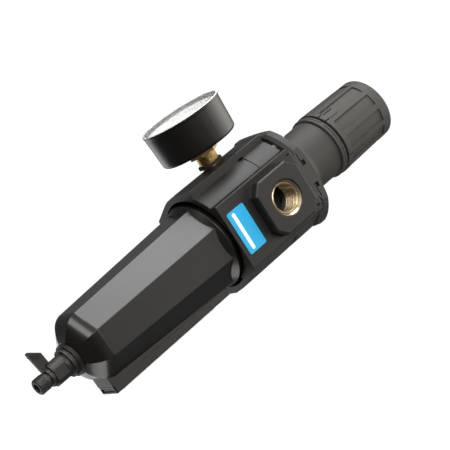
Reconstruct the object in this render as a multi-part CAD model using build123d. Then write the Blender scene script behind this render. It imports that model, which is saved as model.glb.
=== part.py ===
from math import acos, atan2, cos, degrees, hypot, pi, radians, sin, sqrt
import os

from build123d import *

# Filter regulator, upright. The origin is where the pipe axis (X) crosses the main axis (Z).
# The gauge looks along -Y, the sight window is on +Y, the knob is at the top. Millimetres.

running_gap = 0.05
face_gap = 0.1
soft_gap = 0.3

# Body casting
body_radius = 34.5
body_top = 23.0
body_bottom = -41.7
shoulder_drop = 1.0
flat_depth = 2.0
port_block_x = body_radius - flat_depth
port_block_y = 21.7
front_half_width = 16.7
front_proud = 1.0
front_face_y = body_radius + front_proud
casting_round = 0.8

# Pipe ports
pad_height = 7.0
port_face_x = port_block_x + pad_height
pad_half = 18.5
pad_corner = 12.2
pad_bevel = 0.9
port_bore_radius = 9.4
port_mouth_radius = 11.4
port_floor_x = 20.0
corner_slit_y = 18.1
corner_slit_height = 2.6
corner_slit_width = 0.8
corner_slit_depth = 1.5
slit_rise = 2.0

# Seam and band round the casting
seam_z = -0.8
seam_width = 0.6
seam_depth = 0.5
band_height = 4.0
band_depth = 0.35

# Flow passages in the body
seat_radius = 6.0
seat_lip = 1.3
seat_z = -1.0
web_bottom = 4.0
outlet_floor = 10.0
outlet_radius = 22.6
inlet_ring_inner = 13.5
inlet_ring_outer = 17.8
column_bottom = -15.0
guide_bore_radius = 10.4
passage_width = 12.0
passage_wall = 1.8

# Bowl seat in the body
skirt_wall = 1.7
throat_radius = port_block_x - skirt_wall
throat_top = -28.0
throat_step = 3.3
spigot_bore_radius = throat_radius - throat_step
lug_count = 4
lug_angle = 40.0
lug_height = 3.0
lug_reach = 2.1
lug_root = 0.5
body_lug_bottom = -40.2
body_lug_inner = throat_radius - lug_reach

# Diaphragm
rim_outer = 27.4
rim_inner = 23.6
rim_height = 2.0
web_thickness = 1.2
centre_drop = 1.8
fold_inner = 15.6
fold_outer = 22.6
fold_depth = 2.0
hub_radius = 4.0

# Valve
stem_radius = 2.0
valve_radius = 8.6
valve_rubber = 1.6
poppet_height = 2.0
tail_radius = 4.0
tail_length = 9.0
guide_flange_radius = 13.2
guide_flange_height = 3.0
guide_spigot_height = 2.5
guide_boss_radius = 5.2
guide_boss_top = -7.0
guide_bore_floor = -16.0
valve_spring_wire = 1.1
valve_spring_radius = 7.0
valve_spring_turns = 4

# Filter pack
stud_radius = 3.0
deflector_outer = 24.0
deflector_ring = 1.2
deflector_height = 7.0
deflector_plate = 3.0
vane_count = 12
vane_thickness = 1.2
vane_tilt = 38.0
filter_outer = 15.5
filter_inner = 10.0
filter_length = 58.0
baffle_radius = 18.0
baffle_height = 8.0
baffle_fins = 6
fin_thickness = 1.6

# Bonnet
flange_overhang = 2.5
flange_radius = body_radius + flange_overhang
flange_flat_y = 33.0
flange_seat_inset = 2.9
flange_seat_radius = body_radius - flange_seat_inset
flange_arc_drop = 1.3
flange_bevel = 1.9
flange_rim_top = 30.5
flange_cone_radius = 24.5
flange_cone_top = 36.5
neck_radius = 20.0
neck_thread_radius = 19.4
neck_blend_top = 46.0
neck_top = 70.3
neck_runout = 0.5
crown_radius = 18.2
bonnet_top = 86.0
chamber_radius = 17.2
chamber_bottom = 34.0
chamber_top = 70.0
diaphragm_room_top = 26.5
key_half_width = 3.0
key_radius = 18.4
window_inner_y = 6.4
window_outer_y = 9.8
window_bottom = 26.4
window_height = 3.2
window_depth = 2.4
clip_slot_end_y = 15.5
clip_slot_height = 0.6
vent_radius = 1.0

# Bonnet screws
screw_edge = 3.3
screw_circle = body_radius - screw_edge
screw_angle = 50.0
screw_radius = 2.0
screw_head_radius = 3.5
screw_head_height = 4.0
screw_key_radius = 1.7
screw_depth = 12.0
screw_seat_z = 29.0

# Neck nut
neck_nut_outer = 21.6
neck_nut_bottom = 65.5
neck_nut_height = 4.0
neck_nut_groove = 0.6
neck_nut_notches = 8

# Adjusting screw, nut and range spring
screw_thread_radius = 4.0
screw_bottom = 38.0
thrust_radius = 9.0
thrust_height = 2.6
journal_radius = 6.0
hex_flats = 10.0
hex_top = 104.0
socket_clearance = 5.0
nut_radius = 16.6
nut_height = 8.0
nut_bottom = 58.0
key_fit = 0.3
range_wire = 3.0
range_radius = 12.4
range_turns = 6
plate_radius = 15.0
plate_height = 2.0
plate_pilot_height = 2.6

# Knob
knob_bottom = 70.7
knob_top = 118.2
knob_radius = 22.0
knob_top_radius = 20.9
knob_dome = 1.8
knob_edge = 2.0
cap_height = 8.0
panel_depth = 1.3
rim_band = 4.0
rib_count = 11
rib_angle = 9.6
first_rib = -4.4
skirt_clearance = 0.7
tab_count = 4
tab_angle = 15.5
first_tab = -49.8
tab_height = 13.0
tab_slit = 1.0
knob_hub_radius = 9.0
knob_hub_bottom = 88.0
serration_count = 44
serration_radius = 0.35

# Gauge, measured outwards from the main axis
gauge_z = -7.6
case_radius = 25.2
case_back = 48.6
case_front = 69.6
case_wall = 1.4
case_floor = 1.8
case_round = 2.2
bezel_radius = 26.5
bezel_front = 72.3
bezel_lip = 0.9
lens_rim = 2.7
lens_bulge = 2.7
lens_thickness = 1.6
lens_step = 0.4
dial_thickness = 0.8
dial_y = 66.0
dial_start = -135.0
pointer_gap = 0.6
pointer_thickness = 0.6
pointer_length = 17.5
pointer_tail = 6.0
pointer_hub_radius = 2.6
spindle_radius = 0.9
gauge_hex_flats = 17.0
gauge_hex_height = 4.6
gauge_thread_radius = 6.3
gauge_thread_end = 24.0
gauge_stem_bore = 2.0
gauge_bore_end = 20.0
sense_radius = 1.0
sense_inset = 0.3
washer_radius = 8.1
washer_gap = 0.7
washer_thickness = 1.8
tube_radius = 17.0
tube_width = 1.6
tube_height = 4.6
tube_sweep = 255.0
movement_radius = 8.5
movement_height = 4.0

# Rear gauge port
plug_radius = 6.3
plug_sink = 1.5
plug_depth = 9.0
plug_spot_radius = 8.2
plug_key_flats = 6.0
plug_key_depth = 4.0

# Bowl
neck_ring_radius = 29.0
neck_ring_top = -43.0
neck_ring_height = 1.2
neck_cone_radius = 25.5
neck_cone_bottom = -47.6
lug_band_top = -30.0
spigot_top = -18.0
spigot_wall = 2.6
seal_z = -23.0
seal_wire = 1.0
bowl_sides = 8
bowl_top_corner = 27.7
bowl_taper_top = -44.5
bowl_bottom_corner = 23.5
bowl_taper_bottom = -142.6
dome_corner = 22.6
dome_start = -147.5
dome_middle_corner = 19.6
dome_middle = -151.4
cone_bottom = -155.0
cone_bottom_corner = 12.4
bowl_wall = 2.6
bowl_edge = 0.7
drain_hole_radius = 8.0
sump_floor = 4.6

# Sight window on the bowl
rail_half_width = 8.8
rail_seat_y = 25.6
rail_face_y = 30.8
rail_top = -50.7
rail_bottom = -148.1
rail_edge = 0.8
window_top = -62.4
window_bottom_z = -142.6
nose_half_width = 5.4
nose_proud = 1.7
nose_edge = 1.2
lens_flange_half = 7.2
lens_flange_thickness = 2.2
gasket_thickness = 1.0
slot_end_cover = 4.0
sight_screw_radius = 1.5
sight_screw_head = 2.8
sight_screw_depth = 3.2
end_panel_depth = 0.6
end_panel_margin = 1.4

# Drain
drain_nut_radius = 10.4
drain_nut_height = 2.6
drain_nut_grooves = 4
drain_collar_radius = 9.0
drain_collar_height = 2.6
drain_body_radius = 7.1
drain_body_bottom = -171.5
drain_flat = 6.3
drain_shank_radius = 7.9
drain_inner_head = 9.6
drain_inner_height = 2.2
drain_top = -146.5
drain_washer_height = 1.4
drain_bore = 2.6
cock_radius = 4.6
cock_top = -162.0
cock_ring_radius = 5.8
cock_ring_bottom = -174.0
nozzle_radius = 4.86
nozzle_bottom = -182.6
nozzle_neck_radius = 4.2
lever_thickness = 3.0
lever_top = -168.6
lever_bottom = -176.8
lever_reach = 19.2
lever_shoulder = 14.6
lever_grip_width = 3.2
lever_grip_rise = 0.5

upright = (Align.CENTER, Align.CENTER, Align.MIN)
gauge_axis = Pos(0, 0, gauge_z) * Rot(90, 0, 0)
plug_axis = Pos(0, 0, gauge_z) * Rot(-90, 0, 0)
plug_face_y = front_face_y - plug_sink
washer_y = front_face_y + washer_gap
lug_band_radius = body_lug_inner - 4 * soft_gap
bowl_lug_outer = throat_radius - 1.3 * soft_gap
spigot_radius = spigot_bore_radius - soft_gap
seal_centre = spigot_radius - seal_wire + soft_gap / 1.2
knob_socket_top = hex_top + socket_clearance
nozzle_top = cock_ring_bottom
stud_bottom = -85.0
guide_bottom = column_bottom - guide_flange_height
deflector_bottom = guide_bottom - deflector_plate
filter_bottom = deflector_bottom - filter_length
diaphragm_bottom = body_top - rim_height
centre_bottom = body_top - centre_drop - rim_height
centre_top = centre_bottom + web_thickness
valve_top = seat_z - running_gap
poppet_top = valve_top - valve_rubber
poppet_bottom = poppet_top - poppet_height
guide_spigot_top = column_bottom + guide_spigot_height
plate_top = centre_top + plate_height
drain_body_top = cone_bottom - drain_nut_height - drain_collar_height


def rod(radius, bottom, top):
    return Pos(0, 0, bottom) * Cylinder(radius, top - bottom, align=upright)


def tube(outer, inner, bottom, top):
    return rod(outer, bottom, top) - rod(inner, bottom, top)


def turned(*points):
    # A solid of revolution about Z from (radius, height) points.
    return revolve(Plane.XZ * make_face(Polyline(*points, close=True)), axis=Axis.Z)


def block(x_low, x_high, y_low, y_high, z_low, z_high):
    size = (x_high - x_low, y_high - y_low, z_high - z_low)
    return Pos((x_low + x_high) / 2, (y_low + y_high) / 2, (z_low + z_high) / 2) * Box(*size)


def prism(flats, bottom, top, turn=0.0):
    shape = RegularPolygon(flats / 2, 6, major_radius=False, rotation=turn)
    return Pos(0, 0, bottom) * extrude(shape, top - bottom)


def around(count, first=0.0):
    return [Rot(0, 0, first + 360 / count * i) for i in range(count)]


def sector(outer, inner, half_angle, bottom, top):
    # A piece of a ring centred on +X.
    reach = 2 * outer
    edge = (reach * cos(radians(half_angle)), reach * sin(radians(half_angle)))
    wedge = make_face(Polyline((0, 0), edge, (reach, 0), (edge[0], -edge[1]), close=True))
    return tube(outer, inner, bottom, top) & (Pos(0, 0, bottom) * extrude(wedge, top - bottom))


def coil(radius, wire, bottom, top, turns):
    # A compression spring whose ends are ground flat on both seats.
    path = Helix(pitch=(top - bottom) / turns, height=top - bottom, radius=radius)
    start = path @ 0
    section = Plane(origin=start, z_dir=path % 0) * Circle(wire / 2)
    wound = Pos(0, 0, bottom) * sweep(section, path=path)
    return wound & rod(radius + wire, bottom, top)


def port_pad():
    corner = pad_corner
    outline = [(pad_half, -corner), (pad_half, corner), (corner, pad_half), (-corner, pad_half),
               (-pad_half, corner), (-pad_half, -corner), (-corner, -pad_half), (corner, -pad_half)]
    face = Plane.YZ * make_face(Polyline(*outline, close=True))
    pad = Pos(port_block_x - 2, 0, 0) * extrude(face, port_face_x - port_block_x + 2)
    front = pad.edges().group_by(Axis.X)[-1]
    return chamfer(front, pad_bevel)


def port_cut():
    depth = port_face_x - port_floor_x
    mouth = port_mouth_radius - port_bore_radius
    along = Pos(port_floor_x, 0, 0) * Rot(0, 90, 0)
    bore = along * Cylinder(port_bore_radius, depth, align=upright)
    flare = Pos(port_face_x - mouth, 0, 0) * Rot(0, 90, 0)
    return bore + flare * Cone(port_bore_radius, port_mouth_radius, mouth, align=upright)


def flow_cuts():
    # The outlet chamber under the diaphragm, the valve seat, the inlet ring and the two passages.
    outlet = rod(outlet_radius, outlet_floor, diaphragm_bottom)
    rim_seat = rod(rim_outer, diaphragm_bottom, body_top)
    throat = rod(seat_radius, seat_z, outlet_floor)
    lip = tube(guide_bore_radius, seat_radius + seat_lip, seat_z, seat_z + 1.5)
    valve_room = rod(guide_bore_radius, column_bottom, seat_z)
    inlet = tube(inlet_ring_outer, inlet_ring_inner, column_bottom, web_bottom)
    half = passage_width / 2
    inlet_way = block(-port_floor_x, -inlet_ring_inner - 2, -half, half, -half, web_bottom)
    outlet_way = block(inlet_ring_outer + passage_wall, outlet_radius - 0.8, -half, half, 0, outlet_floor + 1)
    return [outlet, rim_seat, throat, lip, valve_room, inlet, inlet_way, outlet_way]


def bowl_seat_cuts():
    throat = rod(throat_radius, body_bottom, throat_top)
    bore = rod(spigot_bore_radius, throat_top, column_bottom)
    return [throat, bore]


def web_start(x, y, side):
    # Where a flat running from (x, y) touches the barrel.
    turn = side * acos(body_radius / hypot(x, y))
    angle = atan2(y, x) + turn
    return body_radius * cos(angle), body_radius * sin(angle)


def body_outline():
    # Half of the casting's plan: the barrel, the port block, the web beside it and the gauge panel.
    barrel = Circle(body_radius) & Rectangle(2 * port_block_x, 4 * body_radius)
    ports = Rectangle(2 * port_block_x, 2 * port_block_y)
    corner = (-port_block_x, -port_block_y)
    web = make_face(Polyline((0, 0), corner, web_start(*corner, 1), close=True))
    low = (0, -front_face_y)
    panel = make_face(Polyline((0, 0), web_start(*low, -1), low, (front_half_width, -front_face_y),
                               (front_half_width, 0), close=True))
    half = web + panel
    return barrel + ports + half + Rot(0, 0, 180) * half


def main_body():
    body = extrude(body_outline(), body_top - shoulder_drop - body_bottom)
    corners = [edge for edge in body.edges().filter_by(Axis.Z)
               if hypot(edge.center().X, edge.center().Y) > body_radius + casting_round / 2]
    body = Pos(0, 0, body_bottom) * fillet(corners, casting_round)
    body += block(-port_block_x, port_block_x, -port_block_y + casting_round, port_block_y - casting_round, 0, body_top)
    body += rod(flange_seat_radius, 0, body_top)
    band = tube(body_radius + 1, body_radius - band_depth, seam_z, seam_z + band_height)
    body -= band - block(-port_face_x, port_face_x, -port_block_y, port_block_y, seam_z, seam_z + band_height)
    seam = block(0, 2 * front_half_width, -front_face_y, -body_radius, seam_z, seam_z + seam_width)
    kept = block(0, front_half_width - seam_depth, -front_face_y + seam_depth, 0, seam_z, seam_z + seam_width)
    for turn in (0, 180):
        body -= Rot(0, 0, turn) * (seam - kept)
        body += Rot(0, 0, turn) * port_pad()
        for side in (-1, 1):
            y = side * corner_slit_y
            slit = block(port_block_x - corner_slit_depth, port_block_x, y - corner_slit_width / 2,
                         y + corner_slit_width / 2, body_top - slit_rise - corner_slit_height / 2,
                         body_top - slit_rise + corner_slit_height / 2)
            body -= Rot(0, 0, turn) * slit
    for cut in flow_cuts() + bowl_seat_cuts():
        body -= cut
    for turn in (0, 180):
        body -= Rot(0, 0, turn) * port_cut()
    body -= gauge_axis * rod(gauge_thread_radius + running_gap, gauge_bore_end, front_face_y)
    body -= plug_axis * rod(plug_radius + running_gap, gauge_bore_end, front_face_y)
    body -= plug_axis * rod(plug_spot_radius, plug_face_y, front_face_y + 1)
    for side in (-1, 1):
        # Drilled from the outlet chamber down into each gauge port.
        place = gauge_bore_end + sense_inset + sense_radius
        body -= Pos(0, side * place, 0) * rod(sense_radius, gauge_z, outlet_floor + 1)
    for turn in around(lug_count, 45):
        body += turn * sector(throat_radius + lug_root, body_lug_inner, lug_angle / 2, body_lug_bottom,
                              body_lug_bottom + lug_height)
    for turn in screw_turns():
        hole = rod(screw_radius + running_gap, body_top - screw_depth, body_top)
        body -= turn * Pos(screw_circle, 0, 0) * hole
    return body


def screw_turns():
    return [Rot(0, 0, angle) for angle in (screw_angle, 180 - screw_angle, 180 + screw_angle, -screw_angle)]


def bonnet_shell():
    rim = [(0, body_top + flange_arc_drop), (flange_radius - flange_bevel, body_top + flange_arc_drop),
           (flange_radius, body_top + flange_arc_drop + flange_bevel), (flange_radius, flange_rim_top),
           (flange_cone_radius, flange_cone_top)]
    outline = Polyline(*rim)
    blend = ThreePointArc(rim[-1], (neck_radius + 1.6, (flange_cone_top + neck_blend_top) / 2 - 1.6),
                          (neck_radius, neck_blend_top))
    thread_low = neck_nut_bottom - neck_runout
    top = Polyline((neck_radius, neck_blend_top), (neck_radius, thread_low), (neck_thread_radius, thread_low),
                   (neck_thread_radius, neck_top), (crown_radius, neck_top), (crown_radius, bonnet_top),
                   (0, bonnet_top), rim[0])
    return revolve(Plane.XZ * make_face(outline + blend + top), axis=Axis.Z)


def bonnet_windows():
    # Latch windows in the flange flats, seen from the port sides.
    low_x = port_block_x - window_depth
    cuts = []
    for side in (-1, 1):
        edges = sorted((side * window_inner_y, side * window_outer_y))
        cuts.append(block(low_x, port_block_x, *edges, window_bottom, window_bottom + window_height))
        edges = sorted((side * window_outer_y, side * clip_slot_end_y))
        cuts.append(block(low_x + 1, port_block_x, *edges, window_bottom, window_bottom + clip_slot_height))
    return cuts


def bonnet():
    shell = bonnet_shell()
    shell += rod(flange_seat_radius, body_top, body_top + flange_arc_drop)
    shell += block(-flange_radius, flange_radius, -pad_half, pad_half, body_top, body_top + flange_arc_drop)
    flats = block(-port_block_x, port_block_x, -flange_flat_y, flange_flat_y, body_top, bonnet_top)
    shell &= flats
    room = turned((0, body_top), (rim_inner, body_top), (rim_inner, diaphragm_room_top),
                  (chamber_radius, chamber_bottom), (chamber_radius, chamber_top), (0, chamber_top))
    shell -= room
    for side in (-1, 1):
        edges = sorted((0, side * key_radius))
        shell -= block(-key_half_width, key_half_width, *edges, chamber_bottom, chamber_top)
    shell -= rod(journal_radius + running_gap, chamber_top, bonnet_top)
    for turn in (0, 180):
        for cut in bonnet_windows():
            shell -= Rot(0, 0, turn) * cut
    for turn in screw_turns():
        place = turn * Pos(screw_circle, 0, 0)
        shell -= place * rod(screw_radius + running_gap, body_top, flange_cone_top)
        shell -= place * rod(screw_head_radius + soft_gap, screw_seat_z, flange_cone_top + 4)
    vent = Pos(0, 0, chamber_bottom + 4) * Rot(0, 90, 0)
    shell -= vent * Cylinder(vent_radius, neck_radius + 10, align=upright)
    return shell


def bonnet_screws():
    shank = rod(screw_radius, body_top - screw_depth + 1, screw_seat_z)
    head = rod(screw_head_radius, screw_seat_z, screw_seat_z + screw_head_height)
    head = fillet(head.edges().group_by(Axis.Z)[-1], 0.5)
    key = prism(2 * screw_key_radius, screw_seat_z + screw_head_height - 2, screw_seat_z + screw_head_height)
    one = shank + head - key
    return Compound(children=[turn * Pos(screw_circle, 0, 0) * one for turn in screw_turns()])


def neck_nut():
    top = neck_nut_bottom + neck_nut_height
    nut = tube(neck_nut_outer, neck_thread_radius + running_gap, neck_nut_bottom, top)
    nut = chamfer(nut.edges().filter_by(GeomType.CIRCLE).sort_by(SortBy.RADIUS)[-2:], 0.5)
    middle = (neck_nut_bottom + top) / 2
    nut -= tube(neck_nut_outer + 1, neck_nut_outer - neck_nut_groove, middle - neck_nut_groove / 2,
                middle + neck_nut_groove / 2)
    for turn in around(neck_nut_notches):
        nut -= turn * block(neck_nut_outer - neck_nut_groove, neck_nut_outer + 1, -1.2, 1.2, middle, top)
    return nut


def adjusting_screw():
    thread = rod(screw_thread_radius, screw_bottom, chamber_top - thrust_height)
    thread = chamfer(thread.edges().group_by(Axis.Z)[0], 0.6)
    thrust = rod(thrust_radius, chamber_top - thrust_height - face_gap, chamber_top - face_gap)
    journal = rod(journal_radius, chamber_top - face_gap, bonnet_top + 0.5)
    drive = prism(hex_flats, bonnet_top + 0.5, hex_top)
    return thread + thrust + journal + drive


def spring_nut():
    top = nut_bottom + nut_height
    body = rod(nut_radius, nut_bottom, top)
    for side in (-1, 1):
        edges = sorted((0, side * (key_radius - key_fit)))
        width = key_half_width - key_fit
        body += block(-width, width, *edges, nut_bottom, top)
    body -= rod(screw_thread_radius + running_gap, nut_bottom, top)
    pocket = tube(nut_radius - 1.2, range_radius - range_wire, nut_bottom, nut_bottom + 1.5)
    return body - pocket


def range_spring():
    return coil(range_radius, range_wire, plate_top, nut_bottom + 1.5, range_turns)


def lower_spring_plate():
    plate = rod(plate_radius, centre_top, plate_top)
    plate = fillet(plate.edges().group_by(Axis.Z)[-1], 0.6)
    pilot = turned((0, plate_top), (range_radius - range_wire / 2 - 0.6, plate_top),
                   (range_radius - range_wire / 2 - 1.6, plate_top + plate_pilot_height),
                   (0, plate_top + plate_pilot_height))
    return plate + pilot - rod(stem_radius / 2, centre_top, plate_top + plate_pilot_height)


def diaphragm():
    top = web_thickness
    points = [(hub_radius, centre_bottom), (fold_inner, centre_bottom),
              (fold_inner + 1.6, centre_bottom - fold_depth), (fold_outer - 3.2, centre_bottom - fold_depth),
              (fold_outer, diaphragm_bottom), (rim_outer, diaphragm_bottom), (rim_outer, body_top),
              (rim_inner, body_top), (rim_inner - 1.2, diaphragm_bottom + top),
              (fold_outer - 3.8, centre_bottom - fold_depth + top),
              (fold_inner + 2.2, centre_bottom - fold_depth + top), (fold_inner + 0.6, centre_top),
              (hub_radius, centre_top)]
    return turned(*points)


def diaphragm_washer():
    top = centre_bottom
    washer = turned((stem_radius + running_gap, top - 4.5), (hub_radius + 1, top - 4.5),
                    (hub_radius + 1.6, top - 1.2), (fold_inner - 2.5, top - 1.2), (fold_inner - 2, top - 0.6),
                    (fold_inner - 2, top), (hub_radius - running_gap, top), (hub_radius - running_gap, centre_top),
                    (stem_radius + running_gap, centre_top))
    return washer


def valve_stem():
    # The stem, the poppet and the guided tail are one turned brass piece.
    stem = rod(stem_radius, poppet_top, centre_top - 0.4)
    stem = chamfer(stem.edges().group_by(Axis.Z)[-1], 0.4)
    poppet = rod(valve_radius, poppet_bottom, poppet_top)
    tail = rod(tail_radius, poppet_bottom - tail_length, poppet_bottom)
    tail = chamfer(tail.edges().group_by(Axis.Z)[0], 0.5)
    return stem + poppet + tail


def valve_seal():
    return tube(valve_radius, stem_radius, poppet_top, valve_top)


def valve_guide():
    flange = prism(2 * guide_flange_radius * cos(pi / 6), guide_bottom, column_bottom)
    spigot = rod(guide_bore_radius - running_gap, column_bottom, guide_spigot_top)
    boss = rod(guide_boss_radius, guide_spigot_top, guide_boss_top)
    guide = flange + spigot + boss
    guide -= rod(tail_radius + running_gap, guide_bore_floor, guide_boss_top)
    stud = rod(stud_radius, stud_bottom, guide_bottom)
    return guide + chamfer(stud.edges().group_by(Axis.Z)[0], 0.6)


def valve_spring():
    return coil(valve_spring_radius, valve_spring_wire, guide_spigot_top, poppet_bottom, valve_spring_turns)


def deflector():
    # A swirl ring: inclined vanes between a hub plate and an outer hoop.
    low = guide_bottom - deflector_height
    hub = tube(filter_outer + 0.6, stud_radius + running_gap, deflector_bottom, guide_bottom)
    hoop = tube(deflector_outer, deflector_outer - deflector_ring, low, guide_bottom)
    gap = tube(deflector_outer - deflector_ring / 2, filter_outer + soft_gap, low, guide_bottom)
    inner = deflector_outer - filter_outer
    blade = Box(inner + 4, vane_thickness, 2 * deflector_height)
    middle = (deflector_outer + filter_outer) / 2 - 0.6
    result = hub + hoop
    for turn in around(vane_count):
        result += (turn * Pos(middle, 0, (low + guide_bottom) / 2) * Rot(vane_tilt, 0, 0) * blade) & gap
    return result


def filter_element():
    element = tube(filter_outer, filter_inner, filter_bottom, deflector_bottom)
    return chamfer(element.edges().filter_by(GeomType.CIRCLE), 0.5)


def baffle():
    top = filter_bottom
    low = top - baffle_height
    cup = turned((stud_radius + running_gap, top - 5), (stud_radius + 3, top - 5), (stud_radius + 4, top - 2.5),
                 (baffle_radius - 2, top - 2.5), (baffle_radius, low), (baffle_radius + 1.6, low),
                 (baffle_radius, top), (stud_radius + running_gap, top))
    fin = block(stud_radius + 2.5, baffle_radius + 0.4, -fin_thickness / 2, fin_thickness / 2, low + 0.5, top - 2)
    for turn in around(baffle_fins, 30):
        cup += turn * fin
    return cup


def neck_and_spigot():
    ring_low = neck_ring_top - neck_ring_height
    profile = turned((0, neck_cone_bottom), (neck_cone_radius, neck_cone_bottom), (neck_ring_radius, ring_low),
                     (neck_ring_radius, neck_ring_top - 0.5), (neck_ring_radius - 0.5, neck_ring_top),
                     (lug_band_radius, neck_ring_top), (lug_band_radius, lug_band_top),
                     (spigot_radius, lug_band_top), (spigot_radius, seal_z - 1.4),
                     (seal_centre - 1.0, seal_z - 1.4), (seal_centre - 1.0, seal_z + 1.4),
                     (spigot_radius, seal_z + 1.4), (spigot_radius, spigot_top - 0.6),
                     (spigot_radius - 0.6, spigot_top), (0, spigot_top))
    for turn in around(lug_count, 45):
        low = body_lug_bottom + lug_height + soft_gap
        profile += turn * sector(bowl_lug_outer, lug_band_radius - 1, lug_angle / 2 - 2, low, low + lug_height)
    return profile


def octagon(corner, z):
    return Pos(0, 0, z) * RegularPolygon(corner, bowl_sides, rotation=180 / bowl_sides)


def bowl_outside():
    # Eight curved facets: the same side profile, cut through from four directions.
    facet = cos(pi / bowl_sides)
    top, start, end = bowl_top_corner * facet, bowl_bottom_corner * facet, cone_bottom_corner * facet
    side = Polyline((end, cone_bottom), (0, cone_bottom), (0, bowl_taper_top), (top, bowl_taper_top),
                    (start, bowl_taper_bottom), (dome_corner * facet, dome_start))
    dome_end = ThreePointArc((dome_corner * facet, dome_start), (dome_middle_corner * facet, dome_middle),
                             (end, cone_bottom))
    half = make_face(side + dome_end)
    slab = extrude(Plane.XZ * (half + mirror(half, Plane.YZ)), 2 * bowl_top_corner, both=True)
    shell = slab
    for turn in around(bowl_sides)[1:bowl_sides // 2]:
        shell &= turn * slab
    corners = [edge for edge in shell.edges() if abs(edge.tangent_at(0.5).Z) > 0.3 and edge.center().Z > dome_start]
    return fillet(corners, bowl_edge)


def bowl_inside():
    side = cos(pi / bowl_sides)
    top_radius = spigot_radius - spigot_wall - 0.4
    low_radius = bowl_bottom_corner * side - bowl_wall
    mid_radius = bowl_top_corner * side - bowl_wall
    return turned((0, cone_bottom + sump_floor), (drain_inner_head + 0.6, cone_bottom + sump_floor),
                  (dome_middle_corner * side - bowl_wall, dome_start), (low_radius, bowl_taper_bottom + 0.5),
                  (mid_radius, bowl_taper_top),
                  (top_radius, lug_band_top), (spigot_radius - spigot_wall, lug_band_top),
                  (spigot_radius - spigot_wall, spigot_top), (0, spigot_top))


def rail_seat():
    seat = block(-rail_half_width, rail_half_width, 10, rail_seat_y, rail_bottom, rail_top)
    inside = loft([octagon(bowl_bottom_corner - 1.5, bowl_taper_bottom - 8),
                   octagon(bowl_top_corner - 1.5, bowl_taper_top)])
    return seat - inside


def bowl():
    shell = bowl_outside() + neck_and_spigot() + rail_seat()
    shell -= bowl_inside()
    slot = block(-nose_half_width, nose_half_width, 10, rail_seat_y,
                 window_bottom_z + slot_end_cover, window_top - slot_end_cover)
    shell -= slot
    shell -= rod(drain_hole_radius, cone_bottom, cone_bottom + 6)
    shell -= sight_screw_place() * rod(sight_screw_radius + running_gap, -sight_screw_depth, 0)
    return shell


def sight_screw_place():
    return Pos(0, rail_seat_y, (rail_top + window_top) / 2) * Rot(-90, 0, 0)


def bowl_seal():
    return Pos(0, 0, seal_z) * Torus(seal_centre, seal_wire)


def sight_cover():
    cover = block(-rail_half_width, rail_half_width, rail_seat_y, rail_face_y, rail_bottom, rail_top)
    outer = cover.edges().group_by(Axis.Y)[-1] + cover.edges().filter_by(Axis.Y)
    cover = fillet(outer, rail_edge)
    window = block(-nose_half_width - face_gap, nose_half_width + face_gap, rail_seat_y, rail_face_y,
                   window_bottom_z - face_gap, window_top + face_gap)
    depth = gasket_thickness + lens_flange_thickness
    reach = lens_flange_half - nose_half_width
    pocket = block(-lens_flange_half - face_gap, lens_flange_half + face_gap, rail_seat_y, rail_seat_y + depth,
                   window_bottom_z - reach - face_gap, window_top + reach + face_gap)
    cover -= window + pocket
    cover -= sight_screw_place() * rod(sight_screw_radius + face_gap, 0, rail_face_y - rail_seat_y)
    cover -= sight_screw_place() * rod(sight_screw_head + face_gap, 3.4, rail_face_y - rail_seat_y)
    panel = block(-rail_half_width + end_panel_margin, rail_half_width - end_panel_margin,
                  rail_seat_y + end_panel_margin, rail_face_y - end_panel_margin, rail_bottom,
                  rail_bottom + end_panel_depth)
    return cover - panel


def sight_seal():
    reach = lens_flange_half - nose_half_width
    whole = block(-lens_flange_half, lens_flange_half, rail_seat_y, rail_seat_y + gasket_thickness,
                  window_bottom_z - reach, window_top + reach)
    hole = block(-nose_half_width, nose_half_width, rail_seat_y, rail_seat_y + gasket_thickness,
                 window_bottom_z + slot_end_cover, window_top - slot_end_cover)
    return whole - hole


def sight_lens():
    low = rail_seat_y + gasket_thickness
    reach = lens_flange_half - nose_half_width
    flange = block(-lens_flange_half, lens_flange_half, low, low + lens_flange_thickness,
                   window_bottom_z - reach, window_top + reach)
    nose = block(-nose_half_width, nose_half_width, low, rail_face_y + nose_proud, window_bottom_z, window_top)
    nose = chamfer(nose.edges().group_by(Axis.Y)[-1], nose_edge)
    return flange + nose


def sight_screw():
    shank = rod(sight_screw_radius, -sight_screw_depth + 0.2, 3.4)
    head = rod(sight_screw_head, 3.4, rail_face_y - rail_seat_y - 0.3)
    slot = block(-0.4, 0.4, -sight_screw_head, sight_screw_head, rail_face_y - rail_seat_y - 1.1,
                 rail_face_y - rail_seat_y)
    return sight_screw_place() * (shank + head - slot)


def drain_body():
    head = rod(drain_inner_head, drain_top - drain_inner_height, drain_top)
    shank = rod(drain_shank_radius, drain_body_top, drain_top - drain_inner_height)
    barrel = rod(drain_body_radius, drain_body_bottom, drain_body_top)
    for side in (-1, 1):
        edges = sorted((side * drain_flat, side * 2 * drain_flat))
        barrel -= block(*edges, -drain_flat, drain_flat, drain_body_bottom, drain_body_top - 2.5)
    body = head + shank + barrel
    body -= rod(drain_bore, cock_top, drain_top)
    return body - rod(cock_radius + running_gap, drain_body_bottom, cock_top)


def drain_washer():
    top = drain_top - drain_inner_height
    return tube(drain_inner_head, drain_shank_radius, top - drain_washer_height, top)


def drain_nut():
    low = cone_bottom - drain_nut_height
    nut = tube(drain_nut_radius, drain_shank_radius + running_gap, low, cone_bottom)
    pitch = drain_nut_height / drain_nut_grooves
    for i in range(drain_nut_grooves):
        middle = low + pitch * (i + 0.5)
        groove = turned((drain_nut_radius + 0.1, middle - pitch / 2.6), (drain_nut_radius + 0.1, middle + pitch / 2.6),
                        (drain_nut_radius - 0.35, middle))
        nut -= groove
    return nut


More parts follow.
